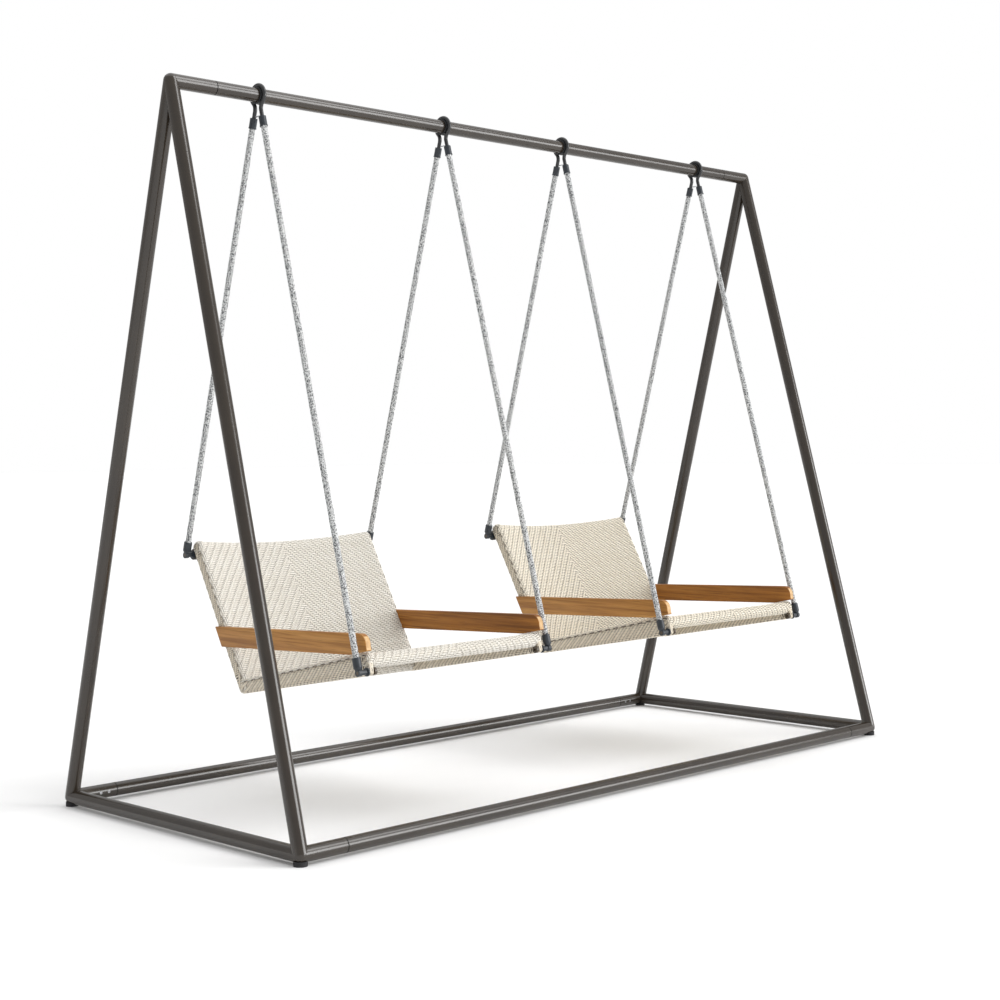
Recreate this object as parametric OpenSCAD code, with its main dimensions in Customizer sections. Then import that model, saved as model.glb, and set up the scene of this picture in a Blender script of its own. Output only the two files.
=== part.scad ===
// Double swing seat: a tubular A-frame stand with two woven armchairs hung side by side on rope.
// Millimetres, +Z up, -Y is the front. The origin lies on the floor below the middle of the top rail.

/* [Stand] */
// Distance between the two end frames, axis to axis
frame_span = 2652; // [2400:1:2900]
// Depth of the base, axis to axis
base_depth = 1091; // [900:1:1300]
// Height of the top rail axis above the floor
bar_height = 2100; // [2050:1:2300]
// Outside diameter of the end frame tubes
tube_d = 42.4; // [40:0.1:46]
// Wall of all stand tubes
tube_wall = 2; // [1.5:0.1:3]
// Step in radius between an end frame tube and the rail stub welded to it
weld_step = 0.2; // [0.1:0.05:0.6]
// Floor to the underside of the base tubes
foot_lift = 7; // [4:0.5:14]
// How far a foot pad reaches up round the tube
foot_saddle = 6; // [3:0.5:9]
// Diameter of a foot pad
foot_d = 38; // [30:1:46]

/* [Rail joints] */
// Distance from a corner axis to the rail seam
seam_inset = 145; // [130:1:190]
// Width of the seam line between stub and rail
seam_gap = 0.8; // [0.4:0.1:1.5]
// Length of the spigot inside a seam
spigot_len = 150; // [130:1:200]
// Wall of the spigot
spigot_wall = 7; // [5:0.5:9]
// Diameter of a joint set screw
set_screw_d = 8; // [6:0.5:10]
// Length of a joint set screw
set_screw_len = 7; // [5:0.5:8]
// Hexagon socket across the corners of a set screw
set_socket_d = 4.6; // [3:0.1:5]
// Depth of the socket in a set screw
set_socket_deep = 3.5; // [2:0.5:4]
// Distance from the seam to the nearer set screw
set_screw_near = 30; // [20:1:34]
// Distance between the two set screws of a joint
set_screw_pitch = 28; // [20:1:30]

/* [Hooks] */
// Distance of each seat middle from the stand middle
seat_offset = 652.5; // [600:0.5:680]
// Distance of a hook from its seat middle
hook_half = 371; // [360:0.5:390]
// Diameter of the hook rod
rod_d = 12.5; // [10:0.1:14]
// Radial running clearance of the hook liner on the top rail
run_gap = 0.1; // [0.05:0.01:0.1]
// Liner wall below the hook rod
liner_wall = 2.5; // [2:0.1:4]
// Height of the liner flanges above the groove floor
liner_flange = 2.3; // [1:0.1:3.5]
// Width of the hook liner along the rail
liner_w = 18; // [15:0.5:24]
// Angle from the vertical at which the hook ring opens below the rail
ring_open = 45; // [40:1:55]
// Step in rod radius where the ring passes into a leg, and where the leg runs straight
draw_step = 0.15; // [0.1:0.05:0.3]
// Bend radius where a hook leg turns down to the rope
leg_bend = 25; // [20:0.5:30]
// Diameter of the keeper pin between the hook legs
keeper_d = 4; // [3:0.5:5]
// Depth of the keeper pin below the rail axis
keeper_drop = 61; // [58:0.5:62]

/* [Ropes] */
// Rope diameter
rope_d = 17.5; // [15:0.1:19]
// Distance of the front rope pins from the seat middle
front_pin_half = 379; // [374:0.5:385]
// Front rope pins, distance in front of the rail
front_pin_y = 437; // [432:0.5:440]
// Front rope pins, height above the floor
front_pin_z = 455; // [454:0.5:460]
// Distance of the rear rope pins from the seat middle
rear_pin_half = 369; // [366:0.5:380]
// Rear rope pins, distance behind the rail
rear_pin_y = 381; // [379:0.5:384]
// Rear rope pins, height above the floor
rear_pin_z = 745; // [742:0.5:748]
// Outside diameter of an upper rope sleeve
sleeve_d = 22; // [21.5:0.1:24]
// Lip added to the radius at the mouth of an upper sleeve
sleeve_lip = 0.8; // [0.4:0.1:1.2]
// Length of an upper rope sleeve
sleeve_len = 31; // [28:0.5:36]
// Hook leg inside an upper sleeve
sleeve_leg = 14; // [12:0.5:15]
// Start of an upper sleeve below the end of the hook bend
sleeve_start = 19; // [17:0.5:24]
// Outside diameter of a lower rope end
end_d = 25; // [23:0.1:27]
// Length of a lower rope end above its pin
end_len = 42; // [38:0.5:48]
// Start of the rope bore above the pin
end_bore = 20; // [18:0.5:22]
// Diameter of the eye under a lower rope end
eye_d = 20; // [18:0.5:22]
// Thickness of the eye along the pin
eye_t = 11; // [9:0.5:13]

/* [Hanger bolts] */
// Bolt shank diameter
bolt_d = 10; // [8:0.5:10]
// Bolt head diameter
bolt_head_d = 21; // [18:0.5:22]
// Bolt head height
bolt_head_h = 8; // [6:0.5:9]
// Hexagon socket across the corners of a bolt head
bolt_socket_d = 9; // [7:0.5:10]
// Depth of the socket in a bolt head
bolt_socket_deep = 4.5; // [3:0.5:5]
// Spacer diameter between eye and seat
spacer_d = 15; // [13:0.5:16]
// Flange diameter of the spacer on the seat
flange_d = 24; // [22:0.5:25]
// Flange thickness
flange_t = 4; // [3:0.5:5]

/* [Seat shell] */
// Half of the outside width of a seat
shell_half = 348; // [344:0.5:351]
// Width of a wrapped seat side
side_w = 20; // [18:0.5:24]
// Thickness of the cord wrapping
wrap_t = 4; // [3:0.25:4.5]
// Lower rear corner of the seat side, distance behind the rail
heel_y = 145; // [143:0.5:147]
// Lower rear corner of the seat side, height above the floor
heel_z = 337; // [335:0.5:339]
// Slope of the underside of the seat, rising to the front
seat_tilt = 10.4; // [10:0.1:10.8]
// Length of the seat side along its underside
side_len = 606; // [602:1:610]
// Height of the seat side at the rear
side_rear_h = 45; // [44:0.5:50]
// Height of the seat side at the front
side_front_h = 67; // [65:0.5:70]
// Recline of the back from the vertical
recline = 29; // [28.5:0.1:29.5]
// Length of the back along its rear face
back_len = 501; // [496:1:506]
// Thickness of the back side
back_t = 42; // [40:0.5:44]
// Radius of the roll at the heel
heel_r = 22; // [20:0.5:22]
// Radius of the roll along the front edge
front_roll_r = 22; // [20:0.5:22.5]
// Radius of the lower front corner of the seat side
toe_r = 9; // [6:0.5:11]
// Drop of the front roll below the top of the seat side
front_drop = 4; // [3:0.5:5]
// Dip of the seat weave in the middle
seat_sag = 6; // [4:0.5:8]
// Bow of the top edge of the back in the middle
back_bow = 34; // [26:0.5:36]
// How far the wrapped sides stand proud of the rolls
side_proud = 1; // [0.5:0.1:1.5]
// Thickness of the woven panels
weave_t = 8; // [6:0.5:9]
// Depth of the seat weave below the top of the seat side
weave_drop = 5; // [4:0.5:6]
// Depth of the back weave behind the front face of the back side
back_drop = 2; // [1.5:0.5:4]

/* [Rear lugs] */
// Radius of the hanger lug behind the back
lug_r = 16; // [15:0.5:18]
// Half width of the lug where it leaves the side plate
lug_foot = 28; // [22:0.5:32]

/* [Armrests] */
// Inner face of an armrest from the seat middle
arm_in = 336; // [334:0.5:338]
// Armrest thickness
arm_t = 20; // [19:0.5:22]
// Armrest height
arm_h = 60; // [56:0.5:64]
// Upper rear corner of an armrest, distance behind the rail
arm_rear_y = 255; // [250:0.5:258]
// Upper rear corner of an armrest, height above the floor
arm_rear_z = 533; // [531:0.5:536]
// Rise of an armrest to the front
arm_rise = 2.2; // [1.8:0.1:2.5]
// Length of an armrest along its top edge
arm_len = 694; // [688:1:700]
// Rake of the front end of an armrest
arm_rake = 6; // [3:0.5:9]
// Radius of the upper front corner of an armrest
arm_round = 30; // [20:0.5:32]
// Armrest screw diameter
arm_screw_d = 5; // [4:0.5:5]
// Armrest screw head diameter
arm_screw_head_d = 9; // [7:0.5:10]
// Armrest screw head height
arm_screw_head_h = 3; // [2:0.5:4]
// Reach of an armrest screw into the wood
arm_screw_bite = 5; // [3:0.5:5]
// Height of the two rear armrest screws up the back
arm_screw_up = 166; // [160:1:170]
// Distance between the two rear armrest screws
arm_screw_pitch = 27; // [22:1:30]

/* [Hidden] */
$fn = 72;
huge = 6000;
through = 4;
tube_r = tube_d / 2;
rail_r = tube_r - weld_step;
bore_r = rail_r - tube_wall;
base_z = foot_lift + tube_r;
half_span = frame_span / 2;
half_depth = base_depth / 2;
leg_rise = bar_height - base_z;
leg_len = sqrt(half_depth * half_depth + leg_rise * leg_rise);
leg_lean = atan2(half_depth, leg_rise);
mitre = (90 - leg_lean) / 2;
seam_x = half_span - seam_inset;
rail_half = seam_x - seam_gap;
set_from_seam = [set_screw_near, set_screw_near + set_screw_pitch];

rod_r = rod_d / 2;
bend_rod_r = rod_r - draw_step;
leg_rod_r = bend_rod_r - draw_step;
liner_in = rail_r + run_gap;
liner_out = liner_in + liner_wall + liner_flange;
ring_r = liner_in + liner_wall + rod_r;
bend_mid = ring_r + leg_bend;
bend_mid_y = bend_mid * sin(ring_open);
bend_mid_z = -bend_mid * cos(ring_open);
exit_y = bend_mid_y - leg_bend;
front_lean = tangent_lean(front_pin_y, front_pin_z);
rear_lean = tangent_lean(rear_pin_y, rear_pin_z);
rope_r = rope_d / 2;
sleeve_gap = 3;
lap = 2;

side_in = shell_half - side_w;
plate_in = side_in + wrap_t;
plate_t = side_w - 2 * wrap_t;
plate_out = plate_in + plate_t;
top_tilt = seat_tilt + atan2(side_front_h - side_rear_h, side_len);
heel_half = (90 + recline - seat_tilt) / 2;
heel_run = heel_r / tan(heel_half);
roll_r = back_t / 2;
seat_bend_r = (side_in * side_in + seat_sag * seat_sag) / (2 * seat_sag);
back_bend_r = (side_in * side_in + back_bow * back_bow) / (2 * back_bow);
lug_v = (rear_pin_y - heel_y) * sin(recline) + (rear_pin_z - heel_z) * cos(recline);
lug_m = (rear_pin_z - heel_z) * sin(recline) - (rear_pin_y - heel_y) * cos(recline);
head_room = 0.5;
bulge = 0.1;
touch = 1;
skin_half = side_in + touch;
bar_half = plate_in + plate_t / 2;

// A point of the seat side: u forward along the underside, n up from it.
function seat_pt(u, n) = [
    heel_y - u * cos(seat_tilt) + n * sin(seat_tilt),
    heel_z + u * sin(seat_tilt) + n * cos(seat_tilt)
];
// A point of the back side: v up along the rear face, m forward from it.
function back_pt(v, m) = [
    heel_y + v * sin(recline) - m * cos(recline),
    heel_z + v * cos(recline) + m * sin(recline)
];
// A point of an armrest: a forward along the top edge, d down from it.
function arm_pt(a, d) = [
    arm_rear_y - a * cos(arm_rise) - d * sin(arm_rise),
    arm_rear_z + a * sin(arm_rise) - d * cos(arm_rise)
];
function side_h(u) = side_rear_h + (side_front_h - side_rear_h) * u / side_len;
function roll_mid_u() = side_len - front_roll_r;
function roll_mid_n() = side_h(roll_mid_u()) - front_roll_r / cos(top_tilt - seat_tilt);
function heel_mid() = seat_pt(heel_run, heel_r);
function front_roll_mid() = seat_pt(roll_mid_u(), roll_mid_n());
function front_bar_mid() = seat_pt(roll_mid_u(), roll_mid_n() - front_drop);
function top_roll_mid() = back_pt(back_len - roll_r, roll_r);
// Lean of the straight line that leaves a hook bend and runs to a rope pin.
function tangent_lean(pin_y, pin_z) =
    let (run = pin_y - bend_mid_y)
    let (drop = bar_height + bend_mid_z - pin_z)
    atan2(run, drop) + asin(leg_bend / norm([run, drop]));
function lean_at(front) = front > 0 ? front_lean : rear_lean;
function way(front) = front > 0 ? -1 : 1;
function exit_pt(front, side) = [
    side * hook_half,
    way(front) * (bend_mid_y - leg_bend * cos(lean_at(front))),
    bar_height + bend_mid_z - leg_bend * sin(lean_at(front))
];
function pin_pt(front, side) = front > 0
    ? [side * front_pin_half, -front_pin_y, front_pin_z]
    : [side * rear_pin_half, rear_pin_y, rear_pin_z];
function pin_half(front) = front > 0 ? front_pin_half : rear_pin_half;
function seat_face(front) = front > 0 ? shell_half : plate_out;
function seat_back_face(front) = front > 0 ? side_in : plate_in;

// Powder-coated stand tubes and seat frames
stand_colour = [0.27, 0.26, 0.245];
// Bright screws
steel_colour = [0.7, 0.71, 0.72];
// Foot pads and hook liners
rubber_colour = [0.08, 0.08, 0.085];
// Hooks, sleeves and hanger fittings
dark_colour = [0.13, 0.14, 0.155];
// Rope
rope_colour = [0.66, 0.67, 0.66];
// Spigots in the rail joints
alloy_colour = [0.62, 0.63, 0.64];
// Hanger bolts
bronze_colour = [0.17, 0.135, 0.09];
// Woven cord
weave_colour = [0.86, 0.82, 0.74];
// Armrest timber
wood_colour = [0.66, 0.44, 0.22];

// Turns a drawing in the Y-Z plane into a slab between two X positions.
module slab(x0, x1) {
    translate([x0, 0, 0])
        rotate([90, 0, 90])
            linear_extrude(x1 - x0)
                children();
}

// A rod along X through a point of the Y-Z plane.
module rod_x(pt, x0, x1, r) {
    translate([x0, pt[0], pt[1]])
        rotate([0, 90, 0])
            cylinder(h = x1 - x0, r = r);
}

// A hexagon socket cut along X.
module hex_x(pt, x0, x1, across) {
    translate([x0, pt[0], pt[1]])
        rotate([0, 90, 0])
            cylinder(h = x1 - x0, d = across, $fn = 6);
}

// Places a child that stands along +Z at p so that it points to q.
module along(p, q) {
    v = q - p;
    translate(p)
        rotate([0, acos(v[2] / norm(v)), atan2(v[1], v[0])])
            children();
}

module pair_x() {
    children();
    mirror([1, 0, 0])
        children();
}

// Half outline of a tube with ball ends, to be turned about its axis.
module capsule_outline(r, len) {
    intersection() {
        union() {
            circle(r = r);
            translate([0, len])
                circle(r = r);
            translate([-r, 0])
                square([2 * r, len]);
        }
        translate([0, -r])
            square([r, len + 2 * r]);
    }
}

module capsule(r, len) {
    rotate_extrude()
        capsule_outline(r, len);
}

module hollow_capsule(len) {
    rotate_extrude()
        difference() {
            capsule_outline(tube_r, len);
            capsule_outline(tube_r - tube_wall, len);
        }
}

// Half space above a plane through the front base corner, tilted about X.
module above_corner(tilt) {
    translate([0, -half_depth, base_z])
        rotate([tilt, 0, 0])
            translate([-huge / 2, -huge / 2, 0])
                cube(huge);
}

module at_leg() {
    translate([0, -half_depth, base_z])
        rotate([-leg_lean, 0, 0])
            children();
}

module at_base() {
    translate([0, -half_depth, base_z])
        rotate([-90, 0, 0])
            children();
}

module leg_solid() {
    at_leg()
        capsule(tube_r, leg_len);
}

module base_solid() {
    at_base()
        capsule(tube_r, base_depth);
}

module front_leg() {
    intersection() {
        at_leg()
            hollow_capsule(leg_len);
        above_corner(mitre);
        translate([-huge / 2, -huge, -huge / 2])
            cube(huge);
    }
}

module rear_leg() {
    mirror([0, 1, 0])
        front_leg();
}

module base_tube() {
    difference() {
        at_base()
            hollow_capsule(base_depth);
        above_corner(mitre);
        mirror([0, 1, 0])
            above_corner(mitre);
    }
}

module rail_pipe(pt, x0, x1) {
    difference() {
        rod_x(pt, x0, x1, rail_r);
        rod_x(pt, x0 - through, x1 + through, bore_r);
    }
}

// One set screw of a joint: distance from the seam, rail centre, turn about X.
module set_screw(from_seam, pt, turn) {
    translate([-seam_x - from_seam, pt[0], pt[1]])
        rotate([turn, 0, 0])
            difference() {
                translate([0, 0, rail_r - set_screw_len])
                    cylinder(h = set_screw_len, d = set_screw_d);
                translate([0, 0, rail_r - set_socket_deep])
                    cylinder(h = set_screw_len, d = set_socket_d, $fn = 6);
            }
}

module set_screw_hole(from_seam, pt, turn) {
    translate([-seam_x - from_seam, pt[0], pt[1]])
        rotate([turn, 0, 0])
            translate([0, 0, rail_r - set_screw_len])
                cylinder(h = set_screw_len + through, d = set_screw_d);
}

function apex_pt() = [0, bar_height];
function front_pt() = [-half_depth, base_z];
function rear_pt() = [half_depth, base_z];
joints = [[apex_pt(), 0], [front_pt(), -90], [rear_pt(), 90]];

module stub(joint) {
    difference() {
        rail_pipe(joint[0], -half_span, -seam_x);
        translate([-half_span, 0, 0]) {
            leg_solid();
            base_solid();
            mirror([0, 1, 0])
                leg_solid();
        }
        for (s = set_from_seam)
            set_screw_hole(s, joint[0], joint[1]);
    }
}

module spigot(joint) {
    difference() {
        rod_x(joint[0], -seam_x - spigot_len / 2, -seam_x + spigot_len / 2, bore_r);
        rod_x(joint[0], -huge / 2, huge / 2, bore_r - spigot_wall);
        for (s = set_from_seam)
            set_screw_hole(s, joint[0], joint[1]);
    }
}

module foot() {
    difference() {
        translate([-half_span, -half_depth, 0])
            cylinder(h = foot_lift + foot_saddle, d = foot_d);
        translate([-half_span, 0, 0]) {
            leg_solid();
            base_solid();
        }
        rod_x(front_pt(), -half_span, -seam_x, rail_r);
    }
}

// Hook parts. A hook hangs on the rail at a distance from the seat middle.
module on_rail(side) {
    translate([side * hook_half, 0, bar_height])
        rotate([90, 0, 90])
            children();
}

module hook_ring() {
    rotate([0, 0, ring_open - 90])
        rotate_extrude(angle = 360 - 2 * ring_open)
            translate([ring_r, 0])
                circle(r = rod_r);
}

module hook_bend(lean) {
    translate([bend_mid_y, bend_mid_z])
        rotate([0, 0, 90 + ring_open - lap])
            rotate_extrude(angle = 90 - ring_open + lean + lap)
                translate([leg_bend, 0])
                    circle(r = bend_rod_r);
}

module keeper_pin(side) {
    reach = exit_y + (keeper_drop + bend_mid_z) * tan(front_lean);
    translate([side * hook_half, -reach, bar_height - keeper_drop])
        rotate([-90, 0, 0])
            cylinder(h = 2 * reach, d = keeper_d);
}

module hook(side) {
    difference() {
        union() {
            on_rail(side) {
                hook_ring();
                hook_bend(rear_lean);
                mirror([1, 0, 0])
                    hook_bend(front_lean);
            }
            for (front = [0, 1])
                along(exit_pt(front, side), pin_pt(front, side))
                    translate([0, 0, -touch])
                        cylinder(h = sleeve_start + sleeve_leg + touch, r = leg_rod_r);
        }
        keeper_pin(side);
    }
}

module hook_liner(side) {
    on_rail(side)
        rotate_extrude()
            difference() {
                translate([liner_in, -liner_w / 2])
                    square([liner_out - liner_in, liner_w]);
                translate([ring_r, 0])
                    circle(r = rod_r);
            }
}

// Rope parts, each along the line from the hook leg to the pin.
module sleeve(front, side) {
    mouth = sleeve_start + sleeve_len;
    leg_end = sleeve_start + sleeve_leg;
    rope_end = leg_end + sleeve_gap;
    wide_r = sleeve_d / 2;
    lip_r = wide_r + sleeve_lip;
    lip_len = sleeve_gap;
    along(exit_pt(front, side), pin_pt(front, side))
        rotate_extrude()
            polygon([
                [leg_rod_r, sleeve_start],
                [wide_r - sleeve_lip, sleeve_start],
                [wide_r, sleeve_start + sleeve_lip],
                [wide_r, mouth - lip_len],
                [lip_r, mouth - lip_len],
                [lip_r, mouth],
                [rope_r, mouth],
                [rope_r, rope_end],
                [0, rope_end],
                [0, leg_end],
                [leg_rod_r, leg_end]
            ]);
}

module rope(front, side) {
    start = sleeve_start + sleeve_leg + sleeve_gap;
    span = norm(pin_pt(front, side) - exit_pt(front, side));
    along(exit_pt(front, side), pin_pt(front, side))
        translate([0, 0, start])
            cylinder(h = span - start - end_bore, r = rope_r);
}

module rope_end(front, side) {
    pin = pin_pt(front, side);
    neck_r = eye_d / 2 - touch;
    wide_r = end_d / 2;
    neck_s = spacer_d / 2 + head_room;
    shoulder = neck_s + wide_r - neck_r + sleeve_gap;
    difference() {
        union() {
            along(pin, exit_pt(front, side))
                rotate_extrude()
                    polygon([
                        [0, neck_s],
                        [neck_r, neck_s],
                        [wide_r, shoulder],
                        [wide_r, end_len - sleeve_gap],
                        [wide_r - touch, end_len],
                        [rope_r, end_len],
                        [rope_r, end_bore],
                        [0, end_bore]
                    ]);
            rod_x([pin[1], pin[2]], pin[0] - eye_t / 2, pin[0] + eye_t / 2, eye_d / 2);
        }
        rod_x([pin[1], pin[2]], pin[0] - eye_t, pin[0] + eye_t, bolt_d / 2);
    }
}

// Hanger hardware of the right-hand side of a seat.
module hanger_bolt(front) {
    pin = pin_pt(front, 1);
    pt = [pin[1], pin[2]];
    face = seat_back_face(front);
    difference() {
        union() {
            rod_x(pt, face - bolt_head_h, face, bolt_head_d / 2);
            rod_x(pt, face, pin_half(front) + eye_t / 2, bolt_d / 2);
        }
        hex_x(pt, face - bolt_head_h - through, face - bolt_head_h + bolt_socket_deep, bolt_socket_d);
    }
}

module hanger_spacer(front) {
    pin = pin_pt(front, 1);
    pt = [pin[1], pin[2]];
    face = seat_face(front);
    difference() {
        union() {
            rod_x(pt, face, face + flange_t, flange_d / 2);
            rod_x(pt, face, pin_half(front) - eye_t / 2, spacer_d / 2);
        }
        rod_x(pt, face - through, pin_half(front), bolt_d / 2);
    }
}

// Room for bolts, heads and flanges in plates and weave.
module hanger_room(front) {
    pin = pin_pt(front, 1);
    pt = [pin[1], pin[2]];
    face = seat_back_face(front);
    rod_x(pt, face - through, seat_face(front) + through, bolt_d / 2);
    rod_x(pt, face - bolt_head_h - head_room, face, bolt_head_d / 2 + head_room);
    rod_x(pt, seat_face(front), shell_half + through, flange_d / 2 + head_room);
}

// Outline of the seat side, drawn in from its outer edge by a margin.
module seat_side_outline(margin) {
    roll = front_roll_mid();
    toe = seat_pt(side_len - toe_r, toe_r);
    heel = heel_mid();
    translate(heel)
        circle(r = heel_r - margin + bulge);
    translate(roll)
        circle(r = front_roll_r - margin + bulge);
    translate(toe)
        circle(r = toe_r - margin + bulge);
    polygon([
        seat_pt(heel_run, margin),
        seat_pt(side_len - toe_r, margin),
        seat_pt(side_len - margin, toe_r),
        seat_pt(side_len - margin, roll_mid_n()),
        seat_pt(roll_mid_u(), side_h(roll_mid_u()) - margin),
        seat_pt(heel_run, side_h(heel_run) - margin)
    ]);
}

// Outline of the back side, drawn in from its outer edge by a margin.
module back_side_outline(margin) {
    translate(top_roll_mid())
        circle(r = roll_r - margin + bulge);
    polygon([
        back_pt(heel_run, margin),
        back_pt(back_len - roll_r, margin),
        back_pt(back_len - roll_r, back_t - margin),
        back_pt(heel_run, back_t - margin)
    ]);
}

module lug_outline() {
    translate([rear_pin_y, rear_pin_z])
        circle(r = lug_r);
    polygon([
        back_pt(lug_v - lug_foot, roll_r),
        back_pt(lug_v - lug_r, lug_m),
        back_pt(lug_v + lug_r, lug_m),
        back_pt(lug_v + lug_r, roll_r)
    ]);
}

// Bars and panels that dip in the middle, turned about an axis far above the panel.
module dipped(mid, lift, bend_r, dip, half) {
    reach = asin(half / bend_r);
    translate([0, mid[0], mid[1]])
        rotate([lift, 0, 0])
            translate([0, bend_r - dip, 0])
                rotate([0, 0, -90 - reach])
                    rotate_extrude(angle = 2 * reach, $fn = 720)
                        translate([bend_r, 0])
                            children();
}

module front_bar(r, half) {
    rod_x(front_bar_mid(), -half, half, r);
}

module top_bar(r, half) {
    dipped(top_roll_mid(), 180 - recline, back_bend_r, back_bow, half)
        circle(r = r);
}

module seat_panel() {
    heel_top = seat_pt(heel_run, side_h(heel_run) - weave_drop - weave_t / 2);
    len = (roll_mid_u() - heel_run) / cos(top_tilt - seat_tilt);
    dipped(heel_top, 90 - top_tilt, seat_bend_r, seat_sag, skin_half)
        translate([-weave_t / 2, 0])
            square([weave_t, len]);
}

module back_panel() {
    len = back_len - roll_r - heel_run;
    head = back_pt(back_len - roll_r, back_t - back_drop - weave_t / 2);
    dipped(head, 180 - recline, back_bend_r, back_bow, skin_half)
        translate([-weave_t / 2, 0])
            square([weave_t, len]);
}

// Armrest screws of the right-hand side.
function arm_screw_pts() = [
    back_pt(arm_screw_up, roll_r),
    back_pt(arm_screw_up + arm_screw_pitch, roll_r)
];

module arm_screw(pt) {
    rod_x(pt, plate_in, plate_in + arm_screw_head_h, arm_screw_head_d / 2);
    rod_x(pt, plate_in, shell_half + arm_screw_bite, arm_screw_d / 2);
}

module side_fittings() {
    for (pt = arm_screw_pts())
        arm_screw(pt);
}

module frame_bare() {
    pair_x()
        slab(plate_in, plate_out) {
            seat_side_outline(wrap_t);
            back_side_outline(wrap_t);
            lug_outline();
        }
    front_bar(front_roll_r - wrap_t, bar_half);
    top_bar(roll_r - wrap_t, bar_half);
    rod_x(heel_mid(), -bar_half, bar_half, heel_r - wrap_t);
}

module seat_frame() {
    difference() {
        frame_bare();
        pair_x() {
            side_fittings();
            hanger_room(0);
            hanger_room(1);
        }
    }
}

module seat_skin() {
    pair_x()
        slab(side_in, shell_half)
            seat_side_outline(0);
    front_bar(front_roll_r - side_proud, skin_half);
    rod_x(heel_mid(), -skin_half, skin_half, heel_r - side_proud);
    seat_panel();
}

module woven_seat() {
    difference() {
        seat_skin();
        frame_bare();
        pair_x() {
            side_fittings();
            hanger_room(1);
        }
    }
}

// Space below the seat weave, kept free of the back weave.
module under_seat() {
    deep = weave_drop + weave_t / 2;
    slab(-side_in, side_in)
        polygon([
            seat_pt(heel_run, 0),
            seat_pt(side_len, 0),
            seat_pt(side_len, side_h(side_len) - deep),
            seat_pt(heel_run, side_h(heel_run) - deep)
        ]);
}

module woven_back() {
    difference() {
        union() {
            pair_x()
                slab(side_in, shell_half)
                    back_side_outline(0);
            top_bar(roll_r - side_proud, skin_half);
            back_panel();
        }
        seat_skin();
        under_seat();
        frame_bare();
        pair_x() {
            side_fittings();
            hanger_room(0);
        }
    }
}

module arm_outline() {
    corner = arm_pt(arm_len - arm_round, arm_round);
    rear_cut = arm_h * tan(recline - arm_rise);
    front_cut = arm_h * tan(arm_rake);
    translate(corner)
        circle(r = arm_round);
    polygon([
        arm_pt(0, 0),
        arm_pt(arm_len - arm_round, 0),
        arm_pt(arm_len, arm_round),
        arm_pt(arm_len + front_cut, arm_h),
        arm_pt(rear_cut, arm_h)
    ]);
}

module armrest() {
    difference() {
        slab(arm_in, arm_in + arm_t)
            arm_outline();
        slab(side_in, arm_in + arm_t + through)
            seat_side_outline(0);
        slab(side_in, shell_half)
            back_side_outline(0);
        side_fittings();
    }
}

// Seat parts for either seat: side -1 is the left-hand side, +1 the right-hand side.
module at_left_seat() {
    translate([-seat_offset, 0, 0])
        children();
}

module at_right_seat() {
    translate([seat_offset, 0, 0])
        children();
}

module hook_liners() {
    color(rubber_colour) {
        hook_liner(-1);
        hook_liner(1);
    }
}

module keeper_pins() {
    color(steel_colour) {
        keeper_pin(-1);
        keeper_pin(1);
    }
}

module rope_sleeves() {
    color(dark_colour)
        for (side = [-1, 1])
            for (front = [0, 1])
                sleeve(front, side);
}

module rope_ends() {
    color(dark_colour)
        for (side = [-1, 1])
            for (front = [0, 1])
                rope_end(front, side);
}

module hanger_bolts() {
    color(bronze_colour)
        pair_x() {
            hanger_bolt(0);
            hanger_bolt(1);
        }
}

module hanger_spacers() {
    color(dark_colour)
        pair_x() {
            hanger_spacer(0);
            hanger_spacer(1);
        }
}

module arm_screws() {
    color(steel_colour)
        pair_x()
            side_fittings();
}

module left_front_leg() {
    color(stand_colour)
        translate([-half_span, 0, 0])
            front_leg();
}

module left_rear_leg() {
    color(stand_colour)
        translate([-half_span, 0, 0])
            rear_leg();
}

module left_base_tube() {
    color(stand_colour)
        translate([-half_span, 0, 0])
            base_tube();
}

module left_apex_stub() {
    color(stand_colour)
        stub(joints[0]);
}

module left_front_stub() {
    color(stand_colour)
        stub(joints[1]);
}

module left_rear_stub() {
    color(stand_colour)
        stub(joints[2]);
}

module right_front_leg() {
    color(stand_colour)
        translate([half_span, 0, 0])
            front_leg();
}

module right_rear_leg() {
    color(stand_colour)
        translate([half_span, 0, 0])
            rear_leg();
}

module right_base_tube() {
    color(stand_colour)
        translate([half_span, 0, 0])
            base_tube();
}

module right_apex_stub() {
    mirror([1, 0, 0])
        left_apex_stub();
}

module right_front_stub() {
    mirror([1, 0, 0])
        left_front_stub();
}

module right_rear_stub() {
    mirror([1, 0, 0])
        left_rear_stub();
}

module top_rail() {
    color(stand_colour)
        rail_pipe(apex_pt(), -rail_half, rail_half);
}

module front_rail() {
    color(stand_colour)
        rail_pipe(front_pt(), -rail_half, rail_half);
}

module rear_rail() {
    color(stand_colour)
        rail_pipe(rear_pt(), -rail_half, rail_half);
}

module rail_spigots() {
    color(alloy_colour)
        pair_x()
            for (joint = joints)
                spigot(joint);
}

module joint_screws() {
    color(steel_colour)
        pair_x()
            for (joint = joints)
                for (s = set_from_seam)
                    set_screw(s, joint[0], joint[1]);
}

module foot_pads() {
    color(rubber_colour)
        pair_x() {
            foot();
            mirror([0, 1, 0])
                foot();
        }
}

module left_seat_outer_hook() {
    color(dark_colour)
        at_left_seat()
            hook(-1);
}

module left_seat_inner_hook() {
    color(dark_colour)
        at_left_seat()
            hook(1);
}

module left_seat_hook_liners() {
    at_left_seat()
        hook_liners();
}

module left_seat_keeper_pins() {
    at_left_seat()
        keeper_pins();
}

module left_seat_rope_sleeves() {
    at_left_seat()
        rope_sleeves();
}

module left_seat_outer_front_rope() {
    color(rope_colour)
        at_left_seat()
            rope(1, -1);
}

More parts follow.
